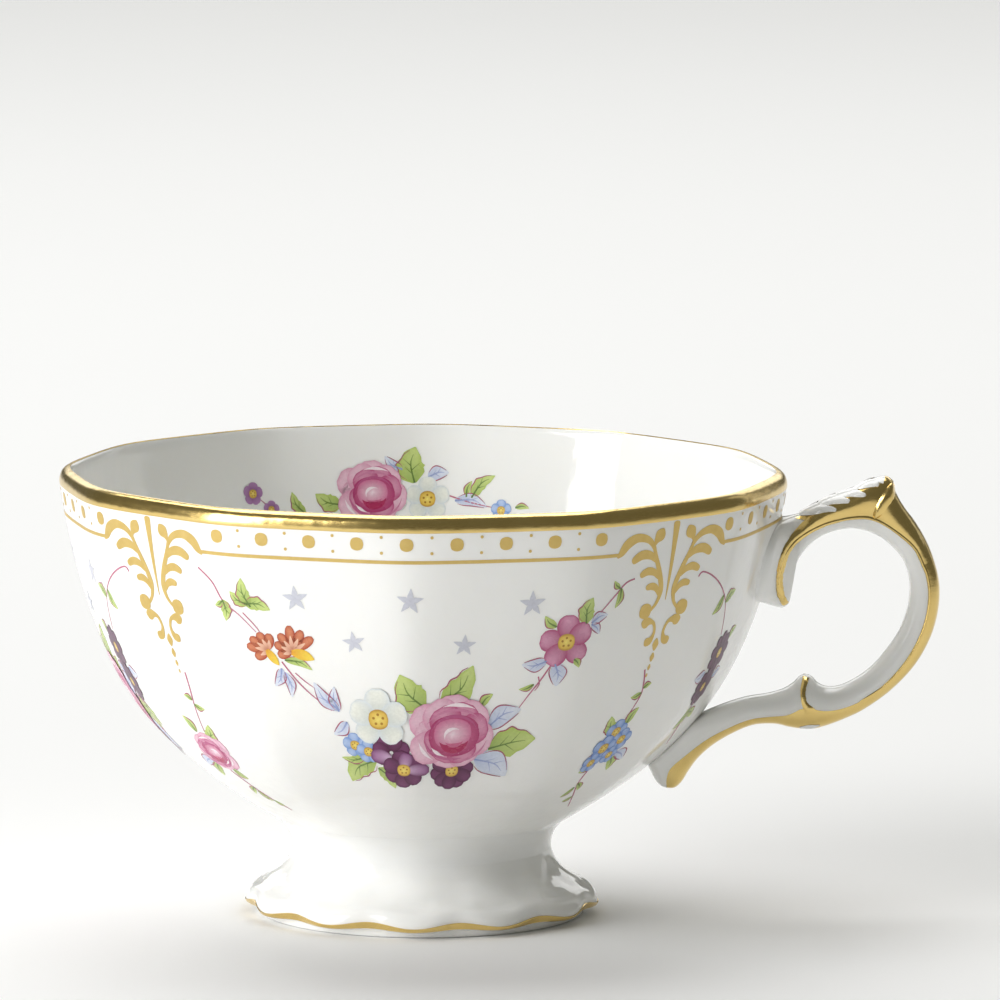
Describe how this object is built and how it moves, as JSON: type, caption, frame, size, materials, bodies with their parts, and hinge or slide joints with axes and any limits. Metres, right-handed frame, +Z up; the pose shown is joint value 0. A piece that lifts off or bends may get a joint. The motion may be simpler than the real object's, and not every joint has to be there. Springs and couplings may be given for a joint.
{
  "type": "fluted teacup",
  "caption": "Thin fluted teacup on a lobed pedestal foot, with a scrolled ring handle, gilded rim and floral enamel sprays.",
  "frame": {"origin": "on the cup's axis, in the plane of the foot ring that stands on the table", "axes": "+Z is up along the cup's axis, +X runs from the axis through the handle, and -Y is the middle of the front panel"},
  "size_m": [0.1262, 0.1046, 0.064],
  "materials": {
    "china": "glossy glazed bone china",
    "slip_china": "glossy glazed bone china",
    "burnished_gold": "burnished",
    "printed_gold": "satin",
    "rose_enamel": "glossy fired enamel",
    "leaf_enamel": "glossy fired enamel",
    "blue_enamel": "glossy fired enamel",
    "lilac_enamel": "glossy fired enamel",
    "plum_enamel": "glossy fired enamel",
    "yellow_enamel": "glossy fired enamel"
  },
  "bodies": {
    "root": {"bowl": "china", "foot": "china", "handle": "china", "foot_slip_joint": "slip_china", "upper_handle_slip_joint": "slip_china", "lower_handle_slip_joint": "slip_china", "rim_gilding": "burnished_gold", "foot_gilding": "burnished_gold", "handle_gilding": "burnished_gold"}
  },
  "joints": []
}
